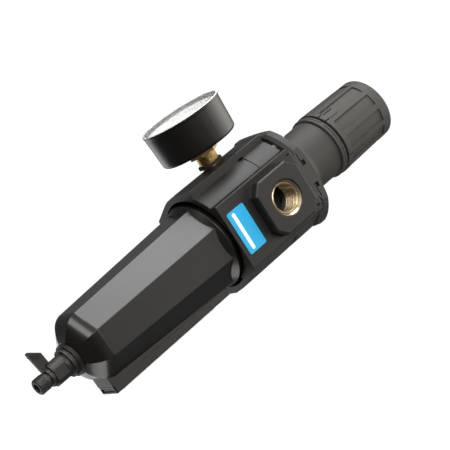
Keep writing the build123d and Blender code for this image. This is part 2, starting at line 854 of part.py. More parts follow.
def drain_collar():
    low = drain_body_top
    top = low + drain_collar_height
    collar = tube(drain_collar_radius, drain_shank_radius + running_gap, low, top)
    return fillet(collar.edges().filter_by(GeomType.CIRCLE).group_by(Axis.Z)[0][-1:], 0.5)


def lever_paddle():
    inner = cock_ring_radius - 1.5
    slope = (lever_top - lever_bottom) * 0.75
    face = [(-inner, lever_top + 0.4), (-lever_shoulder, lever_top - 0.6), (-lever_reach, lever_top - 0.6 - slope),
            (-lever_reach + 0.6, lever_bottom), (-inner, lever_bottom + 2)]
    plane = Plane.YZ.offset(-lever_thickness / 2)
    paddle = extrude(plane * make_face(Polyline(*face, close=True)), lever_thickness)
    paddle = fillet(paddle.edges().filter_by(Axis.X), 0.6)
    along = degrees(atan2(-slope, -lever_reach + lever_shoulder))
    start = Pos(0, -lever_shoulder, lever_top - 0.6)
    length = sqrt(slope ** 2 + (lever_reach - lever_shoulder) ** 2) - 1.6
    for i in range(3):
        inset = 0.9 + i * lever_grip_width / 3
        ridge = Pos(0, length / 2 + 0.8, inset) * Box(lever_thickness + 2 * lever_grip_rise, length, 0.5)
        paddle += start * Rot(along, 0, 0) * ridge
    return paddle


def drain_cock():
    # Spindle, lever and threaded outlet turn together in the drain body.
    spindle = rod(cock_radius, cock_top - 3, cock_top - face_gap)
    spindle += rod(cock_radius, drain_body_bottom - face_gap, cock_top - 3)
    ring = rod(cock_ring_radius, cock_ring_bottom, drain_body_bottom - face_gap)
    ring = fillet(ring.edges().group_by(Axis.Z)[0], 0.6)
    neck = rod(nozzle_neck_radius, nozzle_top - 1.4, nozzle_top)
    nozzle = rod(nozzle_radius, nozzle_bottom, nozzle_top - 1.4)
    nozzle = chamfer(nozzle.edges().group_by(Axis.Z)[0], 0.6)
    paddle = lever_paddle() - rod(cock_ring_radius - 0.5, nozzle_bottom, cock_top)
    below = block(-lever_reach, lever_reach, -lever_reach - 2, lever_reach, nozzle_bottom, drain_body_bottom - face_gap)
    outside = block(-lever_reach, lever_reach, -lever_reach - 2, -drain_body_radius - 0.6, nozzle_bottom, cock_top)
    paddle = paddle & (below + outside)
    return spindle + ring + neck + nozzle + paddle - rod(drain_bore, nozzle_bottom, cock_top - face_gap)


def dome(radius, low, top):
    # The profile arc of a spherical cap, from its rim to the axis.
    rise = top - low
    sphere = (radius ** 2 + rise ** 2) / (2 * rise)
    middle = (radius / 2, top - sphere + sqrt(sphere ** 2 - radius ** 2 / 4))
    return ThreePointArc((radius, low), middle, (0, top))


def capped_rod(radius, bottom, rim, rise):
    sides = Polyline((0, bottom), (radius, bottom), (radius, rim))
    face = make_face(sides + dome(radius, rim, rim + rise) + Line((0, rim + rise), (0, bottom)))
    return revolve(Plane.XZ * face, axis=Axis.Z)


def knob_outside():
    rim = (knob_top_radius, knob_top - knob_dome)
    sides = Polyline((0, knob_bottom), (knob_radius, knob_bottom), rim)
    face = make_face(sides + dome(*rim, knob_top) + Line((0, knob_top), (0, knob_bottom)))
    shoulder = face.vertices().sort_by_distance(rim)[0]
    return revolve(Plane.XZ * fillet(shoulder, knob_edge), axis=Axis.Z)


def knob_panels():
    # Wide recesses between the grip ribs, from the rim band up to the cap.
    low = knob_bottom + rim_band
    top = knob_top - cap_height - knob_dome
    pitch = 360 / rib_count
    half = (pitch - rib_angle) / 2
    radius_low = knob_radius - panel_depth
    radius_top = knob_top_radius + 0.6 - panel_depth
    ring = rod(knob_radius + 2, low, top)
    ring -= turned((0, low), (radius_low, low), (radius_top, top), (0, top))
    cuts = []
    for turn in around(rib_count, first_rib + pitch / 2):
        cuts.append(ring & (turn * sector(knob_radius + 2, 10, half, low, top)))
    return cuts


def knob_tab_slits():
    cuts = []
    for turn in around(tab_count, first_tab):
        for side in (-1, 1):
            half = degrees(tab_slit / 2 / knob_radius)
            slit = sector(knob_radius + 1, crown_radius, half, knob_bottom, knob_bottom + tab_height)
            cuts.append(turn * Rot(0, 0, side * tab_angle / 2) * slit)
    return cuts


def knob():
    body = knob_outside()
    for cut in knob_panels() + knob_tab_slits():
        body -= cut
    for turn in around(serration_count):
        notch = Cylinder(serration_radius, cap_height + knob_dome, align=upright)
        body -= turn * Pos(knob_top_radius + 0.75, 0, knob_top - cap_height - knob_dome + 1) * notch
    room = crown_radius + skirt_clearance
    body -= rod(room, knob_bottom, knob_hub_bottom)
    body -= tube(room, knob_hub_radius, knob_hub_bottom, knob_socket_top)
    body -= prism(hex_flats + 2 * face_gap, knob_hub_bottom, knob_socket_top)
    return body


def gauge_case():
    # A pressed cup that flares a little to its rim.
    edge = bezel_radius - 0.25
    cup = turned((0, case_back), (case_radius, case_back), (edge, bezel_front - 2.5), (bezel_radius, bezel_front - 1.6),
                 (bezel_radius, bezel_front - 0.4), (bezel_radius - 0.4, bezel_front), (0, bezel_front))
    cup = fillet(cup.edges().filter_by(GeomType.CIRCLE).group_by(Axis.Z)[0], case_round)
    cup -= rod(case_radius - case_wall, case_back + case_floor, case_front)
    cup -= rod(bezel_radius - bezel_lip, case_front, bezel_front)
    return gauge_axis * (cup - rod(gauge_hex_flats / 2 - 2, case_back, case_back + case_floor))


def gauge_lens():
    radius = bezel_radius - bezel_lip - face_gap
    rim = case_front + lens_rim
    return gauge_axis * (capped_rod(radius, case_front, rim, lens_bulge)
                         - capped_rod(radius - lens_thickness, case_front, case_front + lens_step,
                                      lens_rim + lens_bulge - lens_thickness - lens_step))


def gauge_dial():
    dial = rod(case_radius - case_wall - face_gap, dial_y - dial_thickness, dial_y)
    return gauge_axis * (dial - rod(spindle_radius + 0.3, dial_y - dial_thickness, dial_y))


def dial_spacer():
    # The ledge that the dial plate is screwed to.
    outer = case_radius - case_wall - face_gap
    return gauge_axis * tube(outer, outer - 1.6, case_back + case_floor, dial_y - dial_thickness)


def gauge_pointer():
    low = dial_y + pointer_gap
    top = low + pointer_thickness
    start = Rot(0, 0, dial_start)
    blade = make_face(Polyline((-pointer_tail, -1.3), (0, -0.9), (pointer_length, -0.25), (pointer_length, 0.25),
                               (0, 0.9), (-pointer_tail, 1.3), close=True))
    hand = start * Pos(0, 0, low) * extrude(blade, pointer_thickness)
    hub = rod(pointer_hub_radius, low, top + 0.6)
    spindle = rod(spindle_radius, case_back + case_floor + movement_height + 3, low)
    return gauge_axis * (hand + hub + spindle)


def gauge_movement():
    low = case_back + case_floor + 2.2
    plates = rod(movement_radius, low, low + 1) + rod(movement_radius, low + movement_height, low + movement_height + 1)
    for turn in around(2, 30):
        plates += turn * Pos(movement_radius - 1.5, 0, 0) * rod(1, low, low + movement_height + 1)
    plates -= rod(spindle_radius + running_gap, low, low + movement_height + 1)
    legs = rod(1.6, case_back + case_floor, low)
    for turn in around(2, 120):
        plates += turn * Pos(movement_radius - 2, 0, 0) * legs
    return gauge_axis * plates


def bourdon_tube():
    low = case_back + case_floor + 2
    arc = tube(tube_radius + tube_width / 2, tube_radius - tube_width / 2, low, low + tube_height)
    gap = sector(tube_radius + 2, tube_radius - 2, (360 - tube_sweep) / 2, low, low + tube_height)
    arc -= Rot(0, 0, -60) * gap
    start = radians(-60 - (360 - tube_sweep) / 2)
    foot = Pos(tube_radius * cos(start), tube_radius * sin(start), 0) * rod(1.5, case_back + case_floor, low + tube_height)
    return gauge_axis * (arc + foot)


def gauge_stem():
    hexagon = prism(gauge_hex_flats, case_back - gauge_hex_height, case_back, 12)
    hexagon &= rod(gauge_hex_flats / 2 / cos(pi / 6) - 0.2, case_back - gauge_hex_height, case_back)
    thread = rod(gauge_thread_radius, gauge_thread_end, case_back - gauge_hex_height)
    thread = chamfer(thread.edges().group_by(Axis.Z)[0], 0.8)
    socket = rod(gauge_hex_flats / 2 - 2.2, case_back, case_back + case_floor)
    return gauge_axis * (hexagon + thread + socket - rod(gauge_stem_bore, gauge_thread_end, case_back))


def gauge_washer():
    ring = tube(washer_radius, gauge_thread_radius + running_gap, washer_y, washer_y + washer_thickness)
    return gauge_axis * fillet(ring.edges().filter_by(GeomType.CIRCLE).sort_by(SortBy.RADIUS)[-2:], 0.4)


def gauge_port_plug():
    inner = plug_face_y - plug_depth
    plug = rod(plug_radius, inner, plug_face_y - 0.2)
    plug = chamfer(plug.edges().group_by(Axis.Z)[-1], 0.5)
    plug -= prism(plug_key_flats, plug_face_y - 0.2 - plug_key_depth, plug_face_y)
    return plug_axis * plug


pieces = {
    "main_body": main_body,
    "bonnet": bonnet,
    "bonnet_screws": bonnet_screws,
    "neck_nut": neck_nut,
    "adjusting_screw": adjusting_screw,
    "spring_nut": spring_nut,
    "range_spring": range_spring,
    "lower_spring_plate": lower_spring_plate,
    "diaphragm": diaphragm,
    "diaphragm_washer": diaphragm_washer,
    "valve_stem": valve_stem,
    "valve_seal": valve_seal,
    "valve_guide": valve_guide,
    "valve_spring": valve_spring,
    "deflector": deflector,
    "filter_element": filter_element,
    "baffle": baffle,
    "bowl": bowl,
    "bowl_seal": bowl_seal,
    "sight_cover": sight_cover,
    "sight_seal": sight_seal,
    "sight_lens": sight_lens,
    "sight_screw": sight_screw,
    "drain_body": drain_body,
    "drain_washer": drain_washer,
    "drain_nut": drain_nut,
    "drain_collar": drain_collar,
    "drain_cock": drain_cock,
    "knob": knob,
    "gauge_case": gauge_case,
    "gauge_lens": gauge_lens,
    "gauge_dial": gauge_dial,
    "dial_spacer": dial_spacer,
    "gauge_pointer": gauge_pointer,
    "gauge_movement": gauge_movement,
    "bourdon_tube": bourdon_tube,
    "gauge_stem": gauge_stem,
    "gauge_washer": gauge_washer,
    "gauge_port_plug": gauge_port_plug,
}

os.makedirs("parts", exist_ok=True)
for name, make in pieces.items():
    export_step(make(), f"parts/{name}.step")
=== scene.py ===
import bpy
import bmesh
from math import atan2, cos, floor, pi, radians, sin, tau
from mathutils import Euler, Matrix, Vector


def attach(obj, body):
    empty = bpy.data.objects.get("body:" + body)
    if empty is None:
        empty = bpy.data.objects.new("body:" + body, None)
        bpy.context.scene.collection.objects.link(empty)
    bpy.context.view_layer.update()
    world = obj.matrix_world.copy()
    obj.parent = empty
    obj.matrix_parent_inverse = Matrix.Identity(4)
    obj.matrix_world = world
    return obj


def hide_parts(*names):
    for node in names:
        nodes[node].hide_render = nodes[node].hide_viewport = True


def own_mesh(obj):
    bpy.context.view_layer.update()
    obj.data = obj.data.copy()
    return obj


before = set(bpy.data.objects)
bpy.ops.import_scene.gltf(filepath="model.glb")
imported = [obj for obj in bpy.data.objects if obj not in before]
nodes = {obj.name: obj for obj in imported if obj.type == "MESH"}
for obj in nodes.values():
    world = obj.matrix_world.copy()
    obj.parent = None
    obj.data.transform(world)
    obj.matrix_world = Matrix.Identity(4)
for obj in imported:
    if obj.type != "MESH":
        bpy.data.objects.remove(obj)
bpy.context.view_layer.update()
print("frame loaded:", len(nodes), "nodes")

mm = 0.001


# Shader helpers

def opaque(color):
    return (*color, 1.0)


class Wire:
    # A socket that adds Math nodes when it is calculated with.
    def __init__(self, shading, socket):
        self.shading = shading
        self.socket = socket

    def math(self, operation, first, second=0.0):
        return self.shading.math(operation, first, second)

    def __add__(self, other):
        return self.math("ADD", self, other)

    __radd__ = __add__

    def __sub__(self, other):
        return self.math("SUBTRACT", self, other)

    def __rsub__(self, other):
        return self.math("SUBTRACT", other, self)

    def __mul__(self, other):
        return self.math("MULTIPLY", self, other)

    __rmul__ = __mul__

    def __gt__(self, other):
        return self.math("GREATER_THAN", self, other)

    def __lt__(self, other):
        return self.math("LESS_THAN", self, other)

    def clamp(self):
        return self.math("MINIMUM", self.math("MAXIMUM", self, 0.0), 1.0)

    def size(self):
        return self.math("ABSOLUTE", self)

    def root(self):
        return self.math("SQRT", self)


class Outputs:
    # The outputs of a node that was just made, each as a wire.
    def __init__(self, shading, made):
        self.shading = shading
        self.made = made

    def __getitem__(self, name):
        return Wire(self.shading, self.made.outputs[name])


class Shading:
    # Adds nodes to one node tree.
    def __init__(self, tree):
        self.tree = tree

    def feed(self, target, values):
        # Links each wire to the socket of its name, and types each plain value into it.
        for name, value in values.items():
            socket = target.inputs[name]
            if isinstance(value, Wire):
                self.tree.links.new(value.socket, socket)
            else:
                socket.default_value = value

    def node(self, kind, settings={}, values={}):
        # Makes one node; its settings come first, then the values or links of its sockets.
        made = self.tree.nodes.new(kind)
        for name, value in settings.items():
            if name == "stops":
                while len(made.color_ramp.elements) < len(value):
                    made.color_ramp.elements.new(0.5)
                for element, (position, color) in zip(made.color_ramp.elements, value):
                    element.position = position
                    element.color = color
            else:
                setattr(made, name, value)
        self.feed(made, values)
        return Outputs(self, made)

    def math(self, operation, first, second=0.0):
        return self.node("ShaderNodeMath", {"operation": operation}, {0: first, 1: second})["Value"]


class Finish(Shading):
    # One material: its surface settings, and the nodes that vary them.
    def __init__(self, name, surface):
        self.material = bpy.data.materials.new(name)
        self.material.use_nodes = True
        super().__init__(self.material.node_tree)
        self.shader = self.tree.nodes["Principled BSDF"]
        self.feed(self.shader, surface)
        self.place = self.node("ShaderNodeTexCoord")["Object"]

    def noise(self, scale, detail=3.0, roughness=0.5, place=None):
        source = place or self.place
        return self.node("ShaderNodeTexNoise", {}, {"Vector": source, "Scale": scale, "Detail": detail,
                                                    "Roughness": roughness})["Fac"]

    def stretched(self, scale):
        return self.node("ShaderNodeMapping", {}, {"Vector": self.place, "Scale": scale})["Vector"]

    def axes(self):
        parts = self.node("ShaderNodeSeparateXYZ", {}, {0: self.place})
        return parts["X"], parts["Y"], parts["Z"]

    def mix(self, amount, first, second):
        # The colour sockets of a Mix node come after those for numbers and vectors.
        return self.node("ShaderNodeMix", {"data_type": "RGBA"}, {0: amount, 6: first, 7: second})[2]

    def bump(self, height, strength, distance, edge=0.0):
        values = {"Height": height, "Strength": strength, "Distance": distance}
        if edge:
            # Rounds the edges in the shading.
            values["Normal"] = self.node("ShaderNodeBevel", {"samples": 6}, {"Radius": edge})["Normal"]
        return self.node("ShaderNodeBump", {}, values)["Normal"]

    def surface(self, **values):
        names = {"color": "Base Color", "roughness": "Roughness", "metallic": "Metallic", "normal": "Normal",
                 "coat": "Coat Weight", "alpha": "Alpha", "glow": "Emission Color"}
        self.feed(self.shader, {names[name]: value for name, value in values.items()})
        return self.material


# Finishes

paintLook = {"black": (0.0042, 0.0034, 0.0028), "worn": (0.0082, 0.0071, 0.0060), "gloss": 0.38,
             "cloud": 38.0, "grain": 2600.0, "edge": 0.35 * mm}
# In portLook, start is how far in the bare metal reaches; the black paint beyond it is painted shade for the
# far end of each bore.
portLook = {"reach": 10.7 * mm, "start": 25.5 * mm, "pale": (0.80, 0.70, 0.50), "dark": (0.40, 0.29, 0.16),
            "gloss": 0.34, "marks": 260.0, "along": (0.2, 1.0, 1.0)}


def castPaint():
    # Satin black paint over a die casting; the port bores are left as bare machined metal near their mouths,
    # and deeper in they keep the black paint as painted shade.
    finish = Finish("castPaint", {"Specular IOR Level": 0.5})
    x, y, z = finish.axes()
    reach = (y * y + z * z).root()
    # Deeper than start the bore keeps the black paint: painted shade for the dark far end of the bore.
    bare = (reach < portLook["reach"]) * (x.size() > portLook["start"])
    cloud = finish.noise(paintLook["cloud"], 4.0)
    fine = finish.noise(paintLook["grain"], 2.0)
    paint = finish.mix(cloud, opaque(paintLook["black"]), opaque(paintLook["worn"]))
    brush = finish.noise(portLook["marks"], 3.0, place=finish.stretched(portLook["along"]))
    metal = finish.mix(brush, opaque(portLook["dark"]), opaque(portLook["pale"]))
    rough = paintLook["gloss"] + cloud * 0.10 + fine * 0.05
    normal = finish.bump(fine * 0.5 + cloud * 0.4, 0.35, 0.06 * mm, paintLook["edge"])
    return finish.surface(color=finish.mix(bare, paint, metal),
                          roughness=rough * (1 - bare) + portLook["gloss"] * bare,
                          metallic=bare, normal=normal)


mouldingLook = {"black": (0.0076, 0.0070, 0.0063), "pale": (0.0130, 0.0122, 0.0112), "cloud": 55.0,
                "grain": 4200.0, "edge": 0.3 * mm}


def blackMoulding(name, gloss, shade=1.0, edge=mouldingLook["edge"]):
    # Fine-grained black plastic; shade makes it paler.
    finish = Finish(name, {"Specular IOR Level": 0.5})
    cloud = finish.noise(mouldingLook["cloud"], 4.0)
    grain = finish.noise(mouldingLook["grain"], 2.0)
    low = [value * shade for value in mouldingLook["black"]]
    high = [value * shade for value in mouldingLook["pale"]]
    color = finish.mix(cloud, opaque(low), opaque(high))
    normal = finish.bump(grain, 0.20, 0.04 * mm, edge)
    return finish.surface(color=color, roughness=gloss + cloud * 0.08 + grain * 0.05, normal=normal)


gaugeLook = {"black": (0.0030, 0.0024, 0.0023), "pale": (0.0058, 0.0049, 0.0046), "gloss": 0.30,
             "cloud": 40.0, "grain": 1800.0, "edge": 0.3 * mm, "lip": -71.9 * mm, "mouth": -60.0 * mm,
             "inside": 24.6 * mm, "axis": -7.6 * mm, "rim": (0.70, 0.70, 0.71)}


def gaugeEnamel():
    # Black enamel on the case; the lip and the wall inside the clear cover are pale.
    finish = Finish("gaugeEnamel", {"Specular IOR Level": 0.5})
    x, y, z = finish.axes()
    cloud = finish.noise(gaugeLook["cloud"], 3.0)
    grain = finish.noise(gaugeLook["grain"], 2.0)
    black = finish.mix(cloud, opaque(gaugeLook["black"]), opaque(gaugeLook["pale"]))
    rise = z - gaugeLook["axis"]
    inside = ((x * x + rise * rise).root() < gaugeLook["inside"]) * (y < gaugeLook["mouth"])
    pale = ((y < gaugeLook["lip"]) + inside).clamp()
    color = finish.mix(pale, black, opaque(gaugeLook["rim"]))
    normal = finish.bump(grain, 0.15, 0.03 * mm, gaugeLook["edge"])
    return finish.surface(color=color, roughness=gaugeLook["gloss"] + cloud * 0.08, normal=normal)


bowlLook = {"black": (0.0028, 0.0022, 0.0019), "pale": (0.0056, 0.0048, 0.0042), "gloss": 0.27,
            "coat": 0.25, "cloud": 24.0, "peel": 900.0, "streak": 120.0, "along": (1.0, 1.0, 0.12),
            "edge": 0.5 * mm}


def bowlPaint():
    # Smoother, glossier black paint on the metal bowl.
    finish = Finish("bowlPaint", {"Specular IOR Level": 0.55, "Coat Roughness": 0.12})
    cloud = finish.noise(bowlLook["cloud"], 3.0)
    peel = finish.noise(bowlLook["peel"], 2.0)
    streak = finish.noise(bowlLook["streak"], 3.0, place=finish.stretched(bowlLook["along"]))
    color = finish.mix(cloud, opaque(bowlLook["black"]), opaque(bowlLook["pale"]))
    normal = finish.bump(peel * 0.6 + cloud, 0.25, 0.05 * mm, bowlLook["edge"])
    return finish.surface(color=color, roughness=bowlLook["gloss"] + streak * 0.12 + cloud * 0.06,
                          coat=bowlLook["coat"] + streak * 0.2, normal=normal)


metalMarks = {"cloud": 140.0, "grain": 1500.0, "turned": 2600.0, "along": (1.0, 0.05, 1.0), "edge": 0.2 * mm}


def metalLook(name, dark, pale, gloss, isTurned=False, edge=metalMarks["edge"]):
    # Bare metal; a turned one has tool marks that are drawn out along Y.
    finish = Finish(name, {"Metallic": 1.0})
    cloud = finish.noise(metalMarks["cloud"], 5.0, 0.6)
    if isTurned:
        marks = finish.noise(metalMarks["turned"], 1.0, place=finish.stretched(metalMarks["along"]))
    else:
        marks = finish.noise(metalMarks["grain"], 2.0)
    color = finish.mix(cloud, opaque(dark), opaque(pale))
    normal = finish.bump(marks, 0.12, 0.02 * mm, edge)
    return finish.surface(color=color, roughness=gloss + cloud * 0.16 + marks * 0.06, normal=normal)


def clearLens(name, tint, body):
    # Thin clear plastic that lets the light through to what lies behind it; body is how much it covers.
    finish = Finish(name, {"IOR": 1.49, "Specular IOR Level": 0.6})
    haze = finish.noise(60.0, 3.0)
    color = finish.mix(haze, opaque(tint), opaque([value * 0.98 for value in tint]))
    return finish.surface(color=color, roughness=0.05 + haze * 0.04, alpha=body + haze * 0.05)


rubberLook = {"dark": (0.012, 0.012, 0.012), "pale": (0.022, 0.021, 0.021), "gloss": 0.62,
              "cloud": 90.0, "grain": 3000.0}


def rubberBlack():
    # Dull black rubber.
    finish = Finish("rubberBlack", {"Specular IOR Level": 0.35})
    cloud = finish.noise(rubberLook["cloud"], 3.0)
    grain = finish.noise(rubberLook["grain"], 2.0)
    color = finish.mix(cloud, opaque(rubberLook["dark"]), opaque(rubberLook["pale"]))
    normal = finish.bump(grain, 0.4, 0.05 * mm)
    return finish.surface(color=color, roughness=rubberLook["gloss"] + cloud * 0.12, normal=normal)


plateLook = {"dark": (0.82, 0.82, 0.80), "pale": (0.90, 0.90, 0.885), "gloss": 0.5, "cloud": 70.0,
             "grain": 2200.0}


def plateWhite():
    # White enamel on the dial's plate.
    finish = Finish("plateWhite", {"Specular IOR Level": 0.4})
    cloud = finish.noise(plateLook["cloud"], 3.0)
    grain = finish.noise(plateLook["grain"], 2.0)
    color = finish.mix(cloud, opaque(plateLook["dark"]), opaque(plateLook["pale"]))
    normal = finish.bump(grain, 0.1, 0.03 * mm)
    return finish.surface(color=color, roughness=plateLook["gloss"] + grain * 0.1, normal=normal)


sinteredLook = {"dark": (0.70, 0.68, 0.62), "pale": (0.84, 0.82, 0.77), "gloss": 0.75, "cloud": 60.0,
                "beads": 1400.0}


def sinteredWhite():
    # Fused plastic beads, as the filter element has.
    finish = Finish("sinteredWhite", {"Specular IOR Level": 0.3})
    pattern = {"Vector": finish.place, "Scale": sinteredLook["beads"]}
    beads = finish.node("ShaderNodeTexVoronoi", {}, pattern)["Distance"]
    cloud = finish.noise(sinteredLook["cloud"], 3.0)
    color = finish.mix(cloud, opaque(sinteredLook["dark"]), opaque(sinteredLook["pale"]))
    normal = finish.bump(beads, 0.6, 0.2 * mm)
    return finish.surface(color=color, roughness=sinteredLook["gloss"] + cloud * 0.15, normal=normal)


# The print's grey is painted reflection: the clear cover's glare laid over black print.
inkAndGlareLook = {"dark": (0.17, 0.17, 0.18), "pale": (0.25, 0.25, 0.26), "gloss": 0.45, "cloud": 400.0}


def printInk():
    # Print on the dial, grey rather than black; the grey is painted reflection, for the glare of the clear
    # cover over the print.
    finish = Finish("printInk", {"Specular IOR Level": 0.4})
    cloud = finish.noise(inkAndGlareLook["cloud"], 2.0)
    color = finish.mix(cloud, opaque(inkAndGlareLook["dark"]), opaque(inkAndGlareLook["pale"]))
    return finish.surface(color=color, roughness=inkAndGlareLook["gloss"] + cloud * 0.15)


paint = castPaint()
moulding = blackMoulding("bonnetMoulding", 0.54, 3.0)
knobMoulding = blackMoulding("knobMoulding", 0.58, 4.6)
drainMoulding = blackMoulding("drainMoulding", 0.42, 1.8)
greyMoulding = blackMoulding("greyMoulding", 0.5, 22.0)
bowlBlack = bowlPaint()
enamel = gaugeEnamel()
brass = metalLook("machinedBrass", (0.34, 0.21, 0.085), (0.62, 0.42, 0.17), 0.24, isTurned=True)
threadBrass = metalLook("threadBrass", (0.50, 0.32, 0.12), (0.80, 0.58, 0.26), 0.26, edge=0.0)
threadBlack = blackMoulding("threadBlack", 0.42, 1.8, edge=0.0)
zinc = metalLook("zincPlate", (0.42, 0.42, 0.41), (0.66, 0.66, 0.64), 0.30)
wireSteel = metalLook("wireSteel", (0.25, 0.25, 0.26), (0.50, 0.50, 0.51), 0.26)
lensClear = clearLens("lensClear", (0.97, 0.98, 0.98), 0.12)
sightClear = clearLens("sightClear", (0.86, 0.88, 0.86), 0.20)
rubber = rubberBlack()
dialWhite = plateWhite()
sintered = sinteredWhite()
inkAndGlare = printInk()

finishes = {
    paint: ["main_body"],
    moulding: ["bonnet"],
    knobMoulding: ["knob", "neck_nut"],
    bowlBlack: ["bowl", "sight_cover"],
    enamel: ["gauge_case", "gauge_pointer"],
    drainMoulding: ["drain_body", "drain_nut", "drain_collar", "drain_cock"],
    greyMoulding: ["diaphragm_washer", "valve_guide", "deflector", "baffle", "dial_spacer"],
    brass: ["gauge_stem", "gauge_movement", "bourdon_tube", "valve_stem", "spring_nut"],
    zinc: ["bonnet_screws", "adjusting_screw", "lower_spring_plate", "sight_screw", "gauge_port_plug"],
    wireSteel: ["range_spring", "valve_spring"],
    rubber: ["diaphragm", "valve_seal", "bowl_seal", "sight_seal", "drain_washer", "gauge_washer"],
    lensClear: ["gauge_lens"],
    sightClear: ["sight_lens"],
    dialWhite: ["gauge_dial"],
    sintered: ["filter_element"],
}
for material, members in finishes.items():
    for member in members:
        slots = nodes[member].data.materials
        slots.clear()
        slots.append(material)
print("finishes made:", len(finishes))


# Pieces of the scene

def keep(mesh, name, body, material, smooth=True):
    # Turns a bmesh into a piece that rides on a body.
    data = bpy.data.meshes.new(name)
    bmesh.ops.recalc_face_normals(mesh, faces=mesh.faces)
    mesh.to_mesh(data)
    mesh.free()
    data.materials.append(material)
    for face in data.polygons:
        face.use_smooth = smooth
    piece = bpy.data.objects.new(name, data)
    bpy.context.scene.collection.objects.link(piece)
    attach(piece, body)
    return piece


# Half of the ridge's foot and of its tip, as shares of the pitch, and the steps of one turn.
ridgeShape = {"foot": 0.44, "tip": 0.06, "steps": 32}


def threadRidge(thread):
    # A helical ridge about Z that starts at height 0, from the wall to its crest.
    mesh = bmesh.new()
    steps = ridgeShape["steps"]
    wall, crest, pitch, turns = thread["wall"], thread["crest"], thread["pitch"], thread["turns"]
    foot, tip = pitch * ridgeShape["foot"], pitch * ridgeShape["tip"]
    points = [(wall, 0, -foot), (crest, 0, -tip), (crest, 0, tip), (wall, 0, foot)]
    corners = [mesh.verts.new(point) for point in points]
    outline = [mesh.edges.new((corners[i], corners[(i + 1) % 4])) for i in range(4)]
    first = mesh.faces.new(corners)
    bmesh.ops.spin(mesh, geom=corners + outline + [first], axis=(0, 0, 1), cent=(0, 0, 0),
                   dvec=(0, 0, pitch / steps), angle=tau * turns, steps=round(steps * turns),
                   use_merge=False, use_duplicate=False)
    bmesh.ops.remove_doubles(mesh, verts=mesh.verts, dist=0.001 * mm)
    return mesh


portThread = {"wall": 9.45 * mm, "crest": 8.7 * mm, "pitch": 1.814 * mm, "turns": 9.2, "start": 21.0 * mm}


def portThreads():
    # The same thread in both port bores.
    for side, turn in (("inlet", -pi / 2), ("outlet", pi / 2)):
        ridge = threadRidge(portThread)
        bmesh.ops.translate(ridge, vec=(0, 0, portThread["start"]), verts=ridge.verts)
        bmesh.ops.rotate(ridge, cent=(0, 0, 0), matrix=Matrix.Rotation(turn, 3, "Y"), verts=ridge.verts)
        keep(ridge, side + "Thread", "housing", paint)


stemThread = {"wall": 6.05 * mm, "crest": 6.60 * mm, "pitch": 1.337 * mm, "turns": 3.6, "start": 38.6 * mm,
              "height": -7.6 * mm}


def gaugeThread():
    # The gauge's thread shows between its washer and its hexagon.
    ridge = threadRidge(stemThread)
    bmesh.ops.translate(ridge, vec=(0, 0, stemThread["start"]), verts=ridge.verts)
    bmesh.ops.rotate(ridge, cent=(0, 0, 0), matrix=Matrix.Rotation(pi / 2, 3, "X"), verts=ridge.verts)
    bmesh.ops.translate(ridge, vec=(0, 0, stemThread["height"]), verts=ridge.verts)
    keep(ridge, "stemThread", "housing", threadBrass)


nozzleThread = {"wall": 4.62 * mm, "crest": 5.06 * mm, "pitch": 0.907 * mm, "turns": 6.6, "low": -182.0 * mm}


def outletThread():
    # The thread round the drain's nozzle.
    ridge = threadRidge(nozzleThread)
    bmesh.ops.translate(ridge, vec=(0, 0, nozzleThread["low"]), verts=ridge.verts)
    keep(ridge, "nozzleThread", "drain_valve", threadBlack)


portThreads()
gaugeThread()
outletThread()
print("threads made")


labelPlate = {"face": 32.5 * mm, "thick": 0.3 * mm, "low": -38.6 * mm, "high": -24.5 * mm, "half": 14.0 * mm,
              "corner": 1.2 * mm, "blue": (0.010, 0.40, 0.74), "deep": (0.008, 0.36, 0.69),
              "pale": (0.86, 0.93, 0.95), "gloss": 0.38, "cloud": 90.0, "cornerSteps": 4,
              "bar": 11.2 * mm, "barHeight": 1.25 * mm, "barDrop": 2.7 * mm}


def labelBlue():
    # A plain blue foil with one pale bar that has rounded ends.
    finish = Finish("labelBlue", {"Specular IOR Level": 0.5})
    x, y, z = finish.axes()
    barPlace = (labelPlate["low"] + labelPlate["high"]) / 2 - labelPlate["barDrop"]
    past = finish.math("MAXIMUM", y.size() - labelPlate["bar"], 0.0)
    rise = z - barPlace
    bar = (past * past + rise * rise).root() < labelPlate["barHeight"]
    cloud = finish.noise(labelPlate["cloud"], 3.0)
    blue = finish.mix(cloud, opaque(labelPlate["blue"]), opaque(labelPlate["deep"]))
    color = finish.mix(bar, blue, opaque(labelPlate["pale"]))
    return finish.surface(color=color, roughness=labelPlate["gloss"] + cloud * 0.1)


def ratingLabel():
    # The thin foil on the front panel, with round corners.
    mesh = bmesh.new()
    bmesh.ops.create_cube(mesh, size=1.0)
    size = Vector((labelPlate["thick"], 2 * labelPlate["half"], labelPlate["high"] - labelPlate["low"]))
    bmesh.ops.scale(mesh, vec=size, verts=mesh.verts)
    corners = [edge for edge in mesh.edges if abs((edge.verts[0].co - edge.verts[1].co).x) > 0.5 * size.x]
    bmesh.ops.bevel(mesh, geom=corners, offset=labelPlate["corner"], segments=labelPlate["cornerSteps"],
                    profile=0.5, affect="EDGES", material=-1)
    place = (labelPlate["face"] + size.x / 2, 0, (labelPlate["low"] + labelPlate["high"]) / 2)
    bmesh.ops.translate(mesh, vec=place, verts=mesh.verts)
    keep(mesh, "ratingLabel", "housing", labelBlue(), smooth=False)


ratingLabel()
print("label made")


# The corners are radii; shell is the share of a facet's distance under which a point is inside the wall.
bowlDome = {"crease": -142.6 * mm, "bottom": -155.0 * mm, "creaseCorner": 23.5 * mm,
            "bottomCorner": 11.7 * mm, "lean": 0.2, "bend": 2.6, "rows": 16, "runout": 0.6 * mm,
            "seatHalf": 8.8 * mm, "seatDepth": 14.0 * mm, "seatFace": 21.9 * mm, "shell": 0.93,
            "cornerSnap": 0.9 * mm, "domeSharp": 6.5, "sharp": 25.0, "near": 0.01 * mm,
            "facets": 8, "facetTurn": pi / 4}


